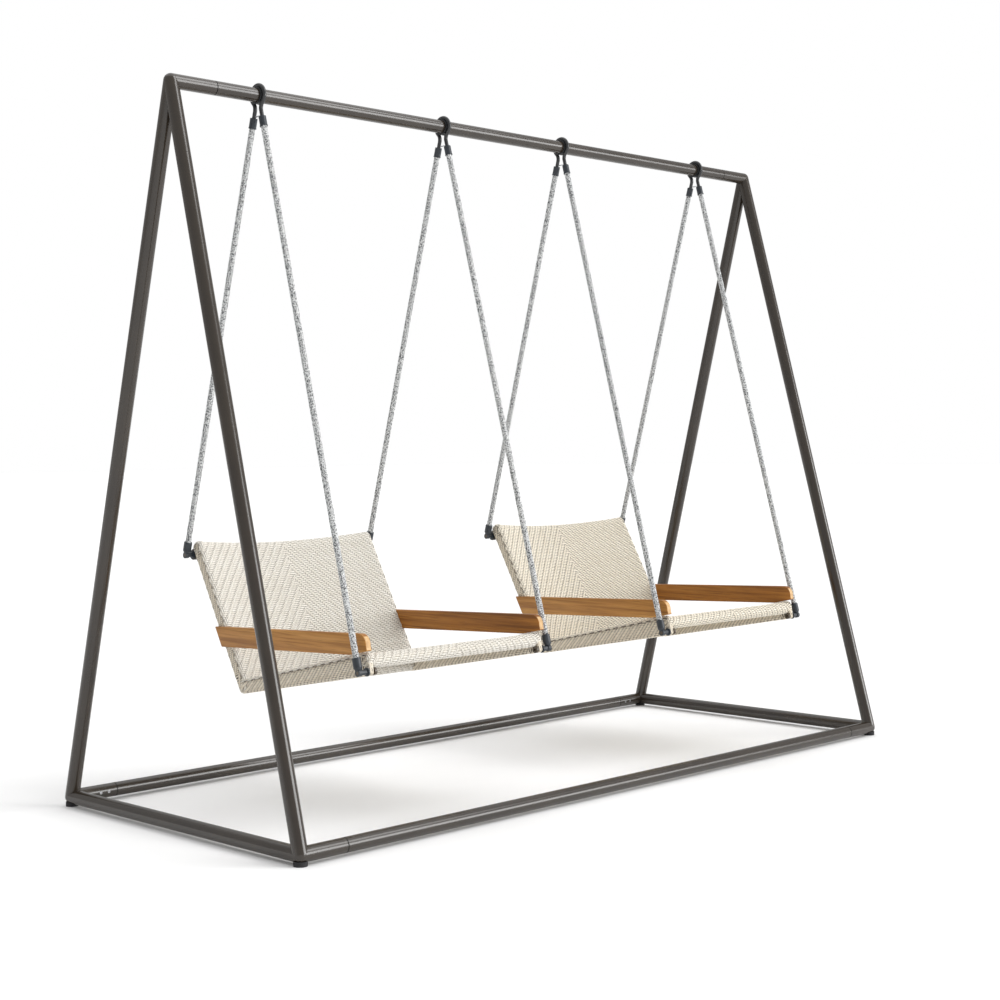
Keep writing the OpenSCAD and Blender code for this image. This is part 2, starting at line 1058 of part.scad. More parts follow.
module left_seat_outer_rear_rope() {
    color(rope_colour)
        at_left_seat()
            rope(0, -1);
}

module left_seat_inner_front_rope() {
    color(rope_colour)
        at_left_seat()
            rope(1, 1);
}

module left_seat_inner_rear_rope() {
    color(rope_colour)
        at_left_seat()
            rope(0, 1);
}

module left_seat_rope_ends() {
    at_left_seat()
        rope_ends();
}

module left_seat_hanger_bolts() {
    at_left_seat()
        hanger_bolts();
}

module left_seat_hanger_spacers() {
    at_left_seat()
        hanger_spacers();
}

module left_seat_frame() {
    color(stand_colour)
        at_left_seat()
            seat_frame();
}

module left_seat_woven_seat() {
    color(weave_colour)
        at_left_seat()
            woven_seat();
}

module left_seat_woven_back() {
    color(weave_colour)
        at_left_seat()
            woven_back();
}

module left_seat_outer_arm() {
    color(wood_colour)
        at_left_seat()
            mirror([1, 0, 0])
                armrest();
}

module left_seat_inner_arm() {
    color(wood_colour)
        at_left_seat()
            armrest();
}

module left_seat_arm_screws() {
    at_left_seat()
        arm_screws();
}

module right_seat_outer_hook() {
    color(dark_colour)
        at_right_seat()
            hook(1);
}

module right_seat_inner_hook() {
    color(dark_colour)
        at_right_seat()
            hook(-1);
}

module right_seat_hook_liners() {
    at_right_seat()
        hook_liners();
}

module right_seat_keeper_pins() {
    at_right_seat()
        keeper_pins();
}

module right_seat_rope_sleeves() {
    at_right_seat()
        rope_sleeves();
}

module right_seat_outer_front_rope() {
    color(rope_colour)
        at_right_seat()
            rope(1, 1);
}

module right_seat_outer_rear_rope() {
    color(rope_colour)
        at_right_seat()
            rope(0, 1);
}

module right_seat_inner_front_rope() {
    color(rope_colour)
        at_right_seat()
            rope(1, -1);
}

module right_seat_inner_rear_rope() {
    color(rope_colour)
        at_right_seat()
            rope(0, -1);
}

module right_seat_rope_ends() {
    at_right_seat()
        rope_ends();
}

module right_seat_hanger_bolts() {
    at_right_seat()
        hanger_bolts();
}

module right_seat_hanger_spacers() {
    at_right_seat()
        hanger_spacers();
}

module right_seat_frame() {
    color(stand_colour)
        at_right_seat()
            seat_frame();
}

module right_seat_woven_seat() {
    color(weave_colour)
        at_right_seat()
            woven_seat();
}

module right_seat_woven_back() {
    color(weave_colour)
        at_right_seat()
            woven_back();
}

module right_seat_outer_arm() {
    color(wood_colour)
        at_right_seat()
            armrest();
}

module right_seat_inner_arm() {
    color(wood_colour)
        at_right_seat()
            mirror([1, 0, 0])
                armrest();
}

module right_seat_arm_screws() {
    at_right_seat()
        arm_screws();
}

left_front_leg();
left_rear_leg();
left_base_tube();
left_apex_stub();
left_front_stub();
left_rear_stub();
right_front_leg();
right_rear_leg();
right_base_tube();
right_apex_stub();
right_front_stub();
right_rear_stub();
top_rail();
front_rail();
rear_rail();
rail_spigots();
joint_screws();
foot_pads();
left_seat_outer_hook();
left_seat_inner_hook();
left_seat_hook_liners();
left_seat_keeper_pins();
left_seat_rope_sleeves();
left_seat_outer_front_rope();
left_seat_outer_rear_rope();
left_seat_inner_front_rope();
left_seat_inner_rear_rope();
left_seat_rope_ends();
left_seat_hanger_bolts();
left_seat_hanger_spacers();
left_seat_frame();
left_seat_woven_seat();
left_seat_woven_back();
left_seat_outer_arm();
left_seat_inner_arm();
left_seat_arm_screws();
right_seat_outer_hook();
right_seat_inner_hook();
right_seat_hook_liners();
right_seat_keeper_pins();
right_seat_rope_sleeves();
right_seat_outer_front_rope();
right_seat_outer_rear_rope();
right_seat_inner_front_rope();
right_seat_inner_rear_rope();
right_seat_rope_ends();
right_seat_hanger_bolts();
right_seat_hanger_spacers();
right_seat_frame();
right_seat_woven_seat();
right_seat_woven_back();
right_seat_outer_arm();
right_seat_inner_arm();
right_seat_arm_screws();
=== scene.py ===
"""Double swing seat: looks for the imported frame.

Sizes are in millimetres, as in the part's source, unless said.
"""
import math

import bmesh
import bpy
import numpy as np
from mathutils import Matrix, Vector


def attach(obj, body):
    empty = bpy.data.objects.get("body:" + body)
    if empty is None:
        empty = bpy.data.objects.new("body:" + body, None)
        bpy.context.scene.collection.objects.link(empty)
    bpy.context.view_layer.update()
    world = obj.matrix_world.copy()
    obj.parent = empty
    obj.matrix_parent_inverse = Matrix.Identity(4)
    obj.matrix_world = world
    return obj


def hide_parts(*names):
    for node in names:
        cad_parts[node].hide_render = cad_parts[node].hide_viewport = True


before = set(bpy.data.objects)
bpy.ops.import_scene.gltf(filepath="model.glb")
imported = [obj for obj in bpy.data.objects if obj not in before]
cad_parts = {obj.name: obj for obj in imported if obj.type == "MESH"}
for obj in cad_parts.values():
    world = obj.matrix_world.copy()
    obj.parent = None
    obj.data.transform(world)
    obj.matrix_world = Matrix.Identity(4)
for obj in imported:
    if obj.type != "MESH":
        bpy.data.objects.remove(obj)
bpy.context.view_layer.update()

MM = 0.001
TINY = 1e-6
SEATS = {"left_seat": -652.5, "right_seat": 652.5}
RNG = np.random.default_rng(20)

# The photograph's camera: place in metres, angles, lens and sensor, the picture's shift,
# and the far limit in metres
CAM_PLACE = Vector((-4.0935, -4.0111, 1.0786))
CAM_YAW = math.radians(45.36)
CAM_PITCH = math.radians(0.16)
CAM_ROLL = -0.00905
CAM_LENS = 61.79
CAM_SENSOR = 36
CAM_SHIFT = -0.0612
CAM_FAR = 200

# Light and floor: the sky's strength, each sun's direction, width in degrees and strength,
# and the floor in metres
SKY_STRENGTH = 0.58
SUNS = {
    "key": ((0.5, -0.55, 0.75), 30, 1.1),
    "top": ((0.1, 0.2, 1.0), 80, 1.0),
    "side": ((0.56, -0.82, 0.1), 36, 2.0),
}
FLOOR_HALF = 60.0
FLOOR_DARK = (0.93, 0.93, 0.93)
FLOOR_LIGHT = (0.95, 0.95, 0.95)

# Rail seams, darkened with a painted shadow line: their place across and the line's half width
SEAM_X = 1180.6
SEAM_HALF = 1.5

# Hooks and ropes
BAR_HEIGHT = 2100
HOOK_HALF = 371
LEG_BEND = 25
BEND_MID_Y = 38.785
BEND_MID_Z = -38.785
FRONT_PIN = (379, -437, 455)
REAR_PIN = (369, 381, 745)
ROPE_START = 36
ROPE_STOP = 20
BRAID_STRANDS = 8
BRAID_PITCH = 40.0
BRAID_R = 7.9
BRAID_SWING = 0.6
BRAID_HALF_W = 1.95
BRAID_HALF_T = 0.9

# Seat shell
SEAT_TILT = math.radians(10.4)
RECLINE = math.radians(29)
HEEL_Y = 145
HEEL_Z = 337
SIDE_LEN = 606
SIDE_REAR_H = 45
SIDE_FRONT_H = 67
BACK_LEN = 501
BACK_T = 42
HEEL_R = 22
FRONT_ROLL_R = 22
TOE_R = 9
FRONT_DROP = 4
SEAT_SAG = 6
BACK_BOW = 34
SHELL_HALF = 348
SIDE_W = 20
SIDE_IN = SHELL_HALF - SIDE_W
SIDE_PROUD = 1
TOP_TILT = SEAT_TILT + math.atan2(SIDE_FRONT_H - SIDE_REAR_H, SIDE_LEN)
HEEL_RUN = HEEL_R / math.tan((math.pi / 2 + RECLINE - SEAT_TILT) / 2)
ROLL_R = BACK_T / 2

# Lugs of the seat frame: how far in front of the back's rear face the dark coat ends, and over what width
LUG_EDGE = 2
LUG_FADE = 1

# Cord meshes: sides of a cord, free share beside each cord in the map for baking, most quads in a piece
CORD_SIDES = 6
MAP_MARGIN = 0.1
LARGEST_PIECE = 80000

# Weave of the panels: cords along the panel and across it, three over and three under
WARP_PITCH = 5.17
WEFT_PITCH = 6.08
REPEAT = 6
FLOAT_POWER = 0.6
PANEL_SWING = 2.1
PANEL_HALF_T = 1.8
WARP_HALF_W = 2.5
WEFT_HALF_W = 2.9
PANEL_DEPTH = PANEL_SWING + PANEL_HALF_T
ROLL_TURN = math.radians(300)

# The crease, where the back weave meets the seat weave: places tried, and how far it goes in
CREASE_PROBES = 300
CREASE_SINK = 1

# The outer edge of a shell, which the panels climb to and turn down over
CLIMB = 12.0
EDGE_R = 5.0
EDGE_TURN = math.radians(125)
EDGE_X = SHELL_HALF - PANEL_DEPTH - EDGE_R
COVER = 2 * PANEL_DEPTH + 0.5

# Weave of the wrapped sides: its rings close in at the ends, to the root of LEAST_END of their width
RING_PITCH = 5.3
SIDE_SWING = 1.15
SIDE_HALF_T = 1.5
SIDE_HALF_W = 2.75
SIDE_CORNER = 5.5
SEAT_SIDE_CORDS = 24
BACK_SIDE_CORDS = 18
SIDE_INSET = SIDE_SWING + SIDE_HALF_T
SIDE_TUCK = 1.0
END_TUCK = 5.0
END_EASE = 40
LEAST_END = 0.02

# Armrests
ARM_IN = 336
ARM_T = 20
ARM_H = 60
ARM_REAR = (255, 533)
ARM_RISE = math.radians(2.2)
ARM_LEN = 694
ARM_RAKE = math.radians(6)
ARM_ROUND = 30
ARM_ARC_STEPS = 14
ARM_BEVEL = 2.2
ARM_BEVEL_STEPS = 3
ARM_BEVEL_ANGLE = math.radians(20)
ARM_SHARP_ANGLE = math.radians(35)


def linear(r, g, b):
    """A colour given as 0 to 255 on screen."""
    return tuple(
        (c / 255 / 12.92) if c < 10.3 else ((c / 255 + 0.055) / 1.055) ** 2.4 for c in (r, g, b))


# Range that most of a noise lies in
NOISE_LOW = 0.3
NOISE_HIGH = 0.7

# Coated metal: dark and light colour, roughness, bumps of the orange peel in a metre, painted shadow lines
# at the rail seams or not
COAT = (linear(43, 36, 29), linear(52, 44, 35))
COATED = {
    "powder_coat": (*COAT, 0.2, 850.0, True),
    "hook_black": (linear(24, 25, 27), linear(34, 35, 37), 0.3, 1200.0, False),
    "bolt_bronze": (linear(58, 46, 30), linear(76, 62, 42), 0.3, 1500.0, False),
}
# The seat frame's coat under the weave: dark and light colour
COVERED_COAT = (linear(206, 196, 178), linear(222, 214, 198))
# Moulded parts: dark and light colour, roughness
MOULDED = {
    "rubber": (linear(30, 30, 32), linear(42, 42, 44), 0.75),
    "liner_plastic": (linear(34, 35, 37), linear(46, 47, 49), 0.45),
    "fitting_dark": (linear(38, 43, 49), linear(52, 57, 63), 0.38),
}
# Bare metal: colour, roughness
BRUSHED = {
    "bright_steel": (linear(205, 206, 208), 0.3),
    "bare_alloy": (linear(168, 169, 171), 0.4),
}
# Woven cord: pale and middle colour, a dark colour of painted shade for where the cords dive under, and the
# depths between which that painted shade comes in
PANEL_CORD = {
    "left_seat": (linear(238, 235, 228), linear(229, 224, 214), linear(88, 75, 60), 0.23, 0.54),
    "right_seat": (linear(248, 242, 229), linear(239, 231, 214), linear(66, 52, 35), 0.17, 0.44),
}
WRAP_CORD = {
    "left_seat": (linear(240, 232, 216), linear(225, 214, 195), linear(54, 42, 30), 0.16, 0.42),
    "right_seat": (linear(240, 231, 213), linear(225, 213, 192), linear(52, 40, 27), 0.16, 0.42),
}
# Rope: pale, middle and fleck colour; a darker share of the fleck colour is also painted shade between the
# strands
ROPE_COLOURS = (linear(236, 237, 236), linear(212, 214, 214), linear(74, 76, 80))
# Teak: light, middle and dark colour of the boards on either side of a seat, and of their ends, which are
# paler partly as end grain and partly as painted light on the front ends
BOARDS = {
    -1: ("teak_light_board", linear(196, 145, 75), linear(178, 123, 54), linear(138, 88, 32)),
    1: ("teak_dark_board", linear(178, 119, 45), linear(161, 102, 32), linear(110, 63, 12)),
}
BOARD_END_AND_LIGHT = ("teak_end", linear(226, 192, 142), linear(212, 174, 122), linear(186, 142, 92))
# Grain: how often figure, bands and pores repeat in a metre, along x, y and z
LONG_GRAIN = ((46, 1.6, 46), (150, 3.2, 150), (800, 14, 800))
END_GRAIN = ((34, 34, 34), (90, 90, 90), (900, 260, 900))


def seat_pt(u, n):
    """A point of the seat side in the (y, z) plane: u forward along the underside, n up from it."""
    return np.stack([
        HEEL_Y - u * math.cos(SEAT_TILT) + n * math.sin(SEAT_TILT),
        HEEL_Z + u * math.sin(SEAT_TILT) + n * math.cos(SEAT_TILT),
    ], -1)


def back_pt(v, m):
    """A point of the back side: v up along the rear face, m forward from it."""
    return np.stack([
        HEEL_Y + v * math.sin(RECLINE) - m * math.cos(RECLINE),
        HEEL_Z + v * math.cos(RECLINE) + m * math.sin(RECLINE),
    ], -1)


def arm_pt(a, d):
    """A point of an armrest: a forward along the top edge, d down from it."""
    return (
        ARM_REAR[0] - a * math.cos(ARM_RISE) - d * math.sin(ARM_RISE),
        ARM_REAR[1] + a * math.sin(ARM_RISE) - d * math.cos(ARM_RISE),
    )


def side_h(u):
    """Height of the seat side above its underside."""
    return SIDE_REAR_H + (SIDE_FRONT_H - SIDE_REAR_H) * u / SIDE_LEN


ROLL_MID_U = SIDE_LEN - FRONT_ROLL_R
ROLL_MID_N = side_h(ROLL_MID_U) - FRONT_ROLL_R / math.cos(TOP_TILT - SEAT_TILT)
HEEL_MID = seat_pt(HEEL_RUN, HEEL_R)
FRONT_ROLL_MID = seat_pt(ROLL_MID_U, ROLL_MID_N)
FRONT_BAR_MID = seat_pt(ROLL_MID_U, ROLL_MID_N - FRONT_DROP)
TOP_ROLL_MID = back_pt(BACK_LEN - ROLL_R, ROLL_R)


def dip(x, depth):
    """How far a bar or panel that is bent to a circle lies below its ends."""
    bend_r = (SIDE_IN ** 2 + depth ** 2) / (2 * depth)
    return bend_r - depth - np.sqrt(bend_r ** 2 - np.clip(np.abs(x), 0, SIDE_IN) ** 2)


def unit(v):
    return v / np.linalg.norm(v, axis=-1, keepdims=True)


def sides_of(offset):
    """Which side of a seat is its outer one, and which its inner one."""
    outer = -1 if offset < 0 else 1
    return {"outer": outer, "inner": -outer}


def add_object(name, data):
    made = bpy.data.objects.new(name, data)
    bpy.context.scene.collection.objects.link(made)
    return made


def mesh_object(name, verts, quads, values, strand, bake):
    """A smooth mesh of quads, with values per vertex and two maps per corner."""
    mesh = bpy.data.meshes.new(name)
    mesh.vertices.add(len(verts))
    mesh.vertices.foreach_set("co", (verts * MM).astype(np.float32).ravel())
    mesh.loops.add(quads.size)
    mesh.loops.foreach_set("vertex_index", quads.astype(np.int32).ravel())
    mesh.polygons.add(len(quads))
    mesh.polygons.foreach_set("loop_start", np.arange(0, quads.size, 4, dtype=np.int32))
    mesh.update(calc_edges=True)
    mesh.shade_smooth()
    for key, numbers in values.items():
        layer = mesh.attributes.new(key, "FLOAT", "POINT")
        layer.data.foreach_set("value", numbers.astype(np.float32).ravel())
    for key, places in (("OFBake", bake), ("strand", strand)):
        layer = mesh.uv_layers.new(name=key, do_init=False)
        layer.uv.foreach_set("vector", places.astype(np.float32).ravel())
    return add_object(name, mesh)


def tubes(lines, normals, wide, high, closed):
    """Vertices of tubes along rows of centre points, from the places of a ring across and up."""
    if closed:
        ahead, behind = np.roll(lines, -1, 1), np.roll(lines, 1, 1)
    else:
        ahead = np.concatenate([lines[:, 1:], lines[:, -1:]], 1)
        behind = np.concatenate([lines[:, :1], lines[:, :-1]], 1)
    along = unit(ahead - behind)
    across = unit(np.cross(along, normals))
    up = np.cross(across, along)
    ring = (
        wide[None, None, :, None] * across[:, :, None]
        + high[None, None, :, None] * up[:, :, None]
    )
    return (lines[:, :, None] + ring).reshape(-1, 3)


def tube_maps(lines, spans):
    """Maps per corner of the tubes' quads: metres along each cord, and a strip for each cord to bake in."""
    rows = len(lines)
    stretch = np.linalg.norm(np.diff(lines, axis=1), axis=2)
    place = np.concatenate([np.zeros((rows, 1)), np.cumsum(stretch, 1)], 1)
    reach = place[:, -1:] + stretch[:, -1:]
    there = np.concatenate([place[:, 1:], reach], 1)
    shape = (rows, spans, CORD_SIDES)
    s0, s1 = (np.broadcast_to(p[:, :spans, None], shape) for p in (place, there))
    k = np.arange(CORD_SIDES)
    t0, t1 = (np.broadcast_to(q[None, None, :] / CORD_SIDES, shape) for q in (k, k + 1))
    row = np.broadcast_to(np.arange(rows)[:, None, None], shape)
    low, high = ((row + MAP_MARGIN + (1 - 2 * MAP_MARGIN) * t) / rows for t in (t0, t1))
    full = reach.max()

    def corners(start, end, first, last):
        spots = ((start, first), (start, last), (end, last), (end, first))
        return np.stack([np.stack(p, -1) for p in spots], 3).reshape(-1, 2)

    return corners(s0 * MM, s1 * MM, t0, t1), corners(s0 / full, s1 / full, low, high)


def end_caps(index):
    """Two quads over each end of each tube."""
    half = CORD_SIDES // 2
    return np.concatenate([
        end[:, pick[::turn]]
        for end, turn in ((index[:, 0], -1), (index[:, -1], 1))
        for pick in (np.arange(half + 1), np.r_[np.arange(half, CORD_SIDES), 0])
    ])


def cords(lines, normals, half_w, half_t, closed, lift, swing):
    """Cords along rows of centre points: vertices, quads, values per vertex and maps per corner."""
    rows, steps = lines.shape[:2]
    angle = 2 * np.pi * (np.arange(CORD_SIDES) + 0.5) / CORD_SIDES
    verts = tubes(lines, normals, half_w * np.cos(angle), half_t * np.sin(angle), closed)
    index = np.arange(rows * steps * CORD_SIDES).reshape(rows, steps, CORD_SIDES)
    this = index if closed else index[:, :-1]
    after = np.roll(index, -1, 1) if closed else index[:, 1:]
    quads = np.stack([this, np.roll(this, -1, 2), np.roll(after, -1, 2), after], -1).reshape(-1, 4)
    strand, bake = tube_maps(lines, this.shape[1])
    if not closed:
        caps = end_caps(index)
        edge = np.stack([np.zeros(len(caps)), (np.arange(len(caps)) % rows + 0.5) / rows], -1)
        quads = np.concatenate([quads, caps])
        strand = np.concatenate([strand, np.zeros((caps.size, 2))])
        bake = np.concatenate([bake, np.repeat(edge, 4, 0)])
    tone = np.repeat(RNG.random(rows), steps * CORD_SIDES)
    face = np.sin(angle)[None, None, :]
    rise = np.sign(face) * lift[:, :, None] + half_t * np.abs(face)
    # Depth of each place in the weave, which the finishes turn into painted shade.
    recess = np.clip((swing + half_t - rise) / (2 * swing + half_t), 0, 1)
    return verts, quads, {"tone": tone, "recess": recess.reshape(-1)}, strand, bake


def weave(name, points, over, swing, half_t, widths, closed=False):
    """Pieces of cord interlaced through a grid of crossings: along its second index, and its first."""
    if closed:
        run = np.roll(points, -1, 0) - np.roll(points, 1, 0)
    else:
        run = np.gradient(points, axis=0)
    normal = unit(np.cross(run, np.gradient(points, axis=1)))
    height = swing * over
    lengthwise = points + height[..., None] * normal
    crosswise = points - height[..., None] * normal
    made = []
    for word, lines, facing, up, half_w, ring in (
        ("warps", lengthwise, normal, height, widths[0], False),
        ("wefts", crosswise.swapaxes(0, 1), normal.swapaxes(0, 1), -height.T, widths[1], closed),
    ):
        shares = math.ceil(lines.shape[0] * lines.shape[1] * CORD_SIDES / LARGEST_PIECE)
        for share, rows in enumerate(np.array_split(np.arange(len(lines)), shares)):
            made.append(mesh_object(f"{name}_{word}_{share}", *cords(
                lines[rows], facing[rows], half_w, half_t, ring, up[rows], swing)))
    return made


def twill(phase):
    """Height of a lengthwise cord at a crossing: three over, three under, highest in mid-float."""
    wave = np.sin((np.mod(phase, REPEAT) + 0.5) * 2 * np.pi / REPEAT)
    return np.sign(wave) * np.abs(wave) ** FLOAT_POWER


def warps():
    """Numbers of the lengthwise cords, their places across, and each one's drop over the outer edge."""
    half = int((EDGE_X + EDGE_R * EDGE_TURN) / WARP_PITCH)
    count = np.arange(-half, half + 1)
    run = np.abs(count) * WARP_PITCH
    turn = np.clip(run - EDGE_X, 0, None) / EDGE_R
    x = np.minimum(run, EDGE_X) + EDGE_R * np.sin(turn)
    return count, np.sign(count) * x, EDGE_R * (1 - np.cos(turn))


def on_side(x):
    """How far the weave has climbed from the panel, 0, onto the wrapped side, 1."""
    t = np.clip((np.abs(x) - SIDE_IN) / CLIMB + 0.5, 0, 1)
    return t * t * (3 - 2 * t)


def belt(x, drop, low, high, r, turns, front, sag):
    """Crossings of a weave that runs from one roll to another and turns round them, a row for each warp."""
    flat = np.linalg.norm(high - low, axis=1).mean()
    first, last = (turn * r.mean() for turn in turns)
    steps = int((first + flat + last) / WEFT_PITCH)
    s = np.linspace(-first, flat + last, steps)[None, :, None]
    share = np.clip(s / flat, 0, 1)
    ahead = unit(high - low)[:, None]
    up = front * np.stack([-ahead[..., 1], ahead[..., 0]], -1)
    turn = (np.clip(s - flat, 0, None) + np.clip(s, None, 0)) / r.mean()
    out = np.cos(turn) * up + np.sin(turn) * ahead
    sunk = 4 * share * (1 - share) * sag[:, None, None] * up
    middle = low[:, None] + share * (high - low)[:, None] + sunk
    spots = middle + (r - drop)[:, None, None] * out
    wide = np.broadcast_to(x[:, None, None], (*spots.shape[:2], 1))
    return np.concatenate([wide, spots], -1)


def seat_rolls(x):
    """Middles of the heel roll and the front roll at each place across, and the weave's radius there."""
    climb = on_side(x)
    low = np.broadcast_to(HEEL_MID, (len(x), 2))
    high = FRONT_BAR_MID + climb[:, None] * (FRONT_ROLL_MID - FRONT_BAR_MID)
    return low, high, HEEL_R - PANEL_DEPTH - SIDE_PROUD * (1 - climb)


def seat_grid(x, drop):
    """Crossings of the seat weave: round the heel roll, along the seat and round the front roll."""
    low, high, r = seat_rolls(x)
    return belt(x, drop, low, high, r, (ROLL_TURN, ROLL_TURN), -1, dip(x, SEAT_SAG))


def back_grid(x, drop):
    """Crossings of the back weave: up from the crease and round the top roll."""
    rise = np.array([math.sin(RECLINE), math.cos(RECLINE)])
    facing = np.array([-math.cos(RECLINE), math.sin(RECLINE)])
    r = ROLL_R - PANEL_DEPTH - SIDE_PROUD * (1 - on_side(x))
    high = TOP_ROLL_MID + dip(x, BACK_BOW)[:, None] * facing
    probe = np.linspace(BACK_LEN / 2, BACK_LEN - ROLL_R - HEEL_RUN, CREASE_PROBES)
    line = (high + r[:, None] * facing)[:, None] - probe[None, :, None] * rise
    seat_low, seat_high, seat_r = seat_rolls(x)
    run = (seat_high - seat_low)[:, None]
    share = np.clip(((line - seat_low[:, None]) * run).sum(-1) / (run ** 2).sum(-1), 0, 1)
    gap = np.linalg.norm(line - seat_low[:, None] - share[..., None] * run, axis=-1)
    met = gap < seat_r[:, None] - CREASE_SINK
    met[:, -1] = True
    foot = probe[np.argmax(met, axis=1)]
    low = high - foot[:, None] * rise
    return belt(x, drop, low, high, r, (0.0, ROLL_TURN), 1, np.zeros(len(x)))


def rounded_section(half_w, low, high, corner, count):
    """Evenly spread points round a rounded rectangle, half_w wide each way and from low to high."""
    half_h = (high - low) / 2
    mid = (high + low) / 2
    r = np.minimum(np.minimum(corner, half_w), half_h)
    legs = np.stack([2 * (half_h - r), np.pi / 2 * r, 2 * (half_w - r), np.pi / 2 * r] * 2, -1)
    ends = np.cumsum(legs, -1)
    starts = ends - legs
    s = (np.arange(count)[None, :] / count) * ends[:, -1:]
    x = np.zeros_like(s)
    n = np.zeros_like(s)
    a, b = (half_w - r)[:, None], (half_h - r)[:, None]
    wide, tall, r = half_w[:, None], half_h[:, None], r[:, None]
    # Each straight leg's start and direction, and each corner's middle and quarter turn
    spots = (
        (wide, -b, 0, 1), (a, b, 0, 0), (a, tall, -1, 0), (-a, b, 1, 0),
        (-wide, b, 0, -1), (-a, -b, 2, 0), (-a, -tall, 1, 0), (a, -b, 3, 0),
    )
    for leg, (cx, cn, dx, dn) in enumerate(spots):
        inside = (s >= starts[:, leg:leg + 1]) & (s <= ends[:, leg:leg + 1])
        t = s - starts[:, leg:leg + 1]
        if leg % 2:
            turn = dx * np.pi / 2 + t / np.maximum(r, TINY)
            px, pn = cx + r * np.cos(turn), cn + r * np.sin(turn)
        else:
            px, pn = cx + dx * t, cn + dn * t
        x = np.where(inside, px, x)
        n = np.where(inside, pn, n)
    return x, n + mid[:, None]


def side_grid(side, first, last, low, high, place, count):
    """Crossings on a wrapped side: cords along it, and rings round it, which close in at both ends."""
    steps = int((last - first) / RING_PITCH)
    even = np.linspace(first, last, steps)
    eased = first + (last - first) * (1 - np.cos(np.linspace(0, np.pi, steps))) / 2
    blend = np.clip(np.minimum(even - first, last - even) / END_EASE, 0, 1)
    u = np.sort(even * blend + eased * (1 - blend))
    closing = np.clip(np.minimum(u - first, last - u) / SIDE_CORNER, 0, 1)
    half = (SIDE_W - SIDE_TUCK) / 2 - SIDE_INSET
    half_w = half * np.sqrt(np.clip(1 - (1 - closing) ** 2, LEAST_END, 1))
    x, n = rounded_section(half_w, low(u), high(u), SIDE_CORNER, count)
    mid_x = side * (SIDE_IN + (SIDE_W - SIDE_TUCK) / 2)
    spots = place(np.broadcast_to(u[:, None], n.shape), n)
    return np.concatenate([(mid_x + x)[..., None], spots], -1).swapaxes(0, 1)


def arc(r, reach):
    """Height of a quarter circle at a reach from its middle, and r where the reach is negative."""
    return np.sqrt(np.clip(r ** 2 - np.clip(reach, 0, None) ** 2, 0, None))


def seat_side_low(u):
    toe = TOE_R - arc(TOE_R, u - SIDE_LEN + TOE_R)
    heel = HEEL_R - arc(HEEL_R, HEEL_RUN - u)
    return np.maximum(toe, heel) + SIDE_INSET


def seat_side_high(u):
    roll = ROLL_MID_N + arc(FRONT_ROLL_R, u - ROLL_MID_U)
    heel = HEEL_R + arc(HEEL_R, HEEL_RUN - u)
    top = np.where(u > ROLL_MID_U, roll, side_h(u))
    return np.where(u < HEEL_RUN, heel, top) - SIDE_INSET - COVER


def back_side_low(v):
    return ROLL_R - arc(ROLL_R, v - BACK_LEN + ROLL_R) + SIDE_INSET


def back_side_high(v):
    return BACK_T - back_side_low(v) - COVER


# Wrapped sides: first and last place along, lower and upper edge, points of the side, and cords round it
SIDE_WRAPS = {
    "woven_seat": (
        HEEL_RUN - HEEL_R + END_TUCK, SIDE_LEN - END_TUCK,
        seat_side_low, seat_side_high, seat_pt, SEAT_SIDE_CORDS),
    "woven_back": (
        HEEL_RUN, BACK_LEN - END_TUCK,
        back_side_low, back_side_high, back_pt, BACK_SIDE_CORDS),
}


def joined(name, parts):
    """One piece from several: its parts keep their maps and values."""
    bpy.ops.object.select_all(action="DESELECT")
    for part in parts:
        part.select_set(True)
    bpy.context.view_layer.objects.active = parts[0]
    bpy.ops.object.join()
    parts[0].name = name
    return parts[0]


def woven_shell(seat, offset, panel_finish, wrap_finish):
    """The woven pieces of one seat."""
    count, x, drop = warps()
    made = {}
    for part, grid, way in (("seat", seat_grid, -1), ("back", back_grid, 1)):
        points = grid(x, drop)
        phase = np.abs(count)[:, None] + way * np.arange(points.shape[1])[None, :]
        made[f"woven_{part}"] = weave(
            f"{seat}_{part}_weave", points, twill(phase),
            PANEL_SWING, PANEL_HALF_T, (WARP_HALF_W, WEFT_HALF_W))
    for word, side in (("left", -1), ("right", 1)):
        for node, wrap in SIDE_WRAPS.items():
            points = side_grid(side, *wrap)
            phase = np.arange(points.shape[0])[:, None] + np.arange(points.shape[1])[None, :]
            part = node.split("_")[1]
            pair = weave(
                f"{seat}_{part}_{word}_side", points, twill(phase),
                SIDE_SWING, SIDE_HALF_T, (SIDE_HALF_W, SIDE_HALF_W), True)
            made[node].append(joined(f"{seat}_{part}_{word}_wrap", pair))
    for node, pieces in made.items():
        for piece in pieces:
            piece.data.transform(Matrix.Translation((offset * MM, 0, 0)))
            piece.data.materials.append(wrap_finish if piece.name.endswith("_wrap") else panel_finish)
            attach(piece, seat)
            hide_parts(f"{seat}_{node}")


def rope_line(pin, side, offset):
    """The rope's two ends in the row frame."""
    way = 1 if pin[1] > 0 else -1
    run = abs(pin[1]) - BEND_MID_Y
    drop = BAR_HEIGHT + BEND_MID_Z - pin[2]
    lean = math.atan2(run, drop) + math.asin(LEG_BEND / math.hypot(run, drop))
    leave = np.array([
        side * HOOK_HALF,
        way * (BEND_MID_Y - LEG_BEND * math.cos(lean)),
        BAR_HEIGHT + BEND_MID_Z - LEG_BEND * math.sin(lean),
    ])
    end = np.array([side * pin[0], pin[1], pin[2]], float)
    along = unit(end - leave)
    shift = np.array([offset, 0, 0])
    return leave + ROPE_START * along + shift, end - ROPE_STOP * along + shift


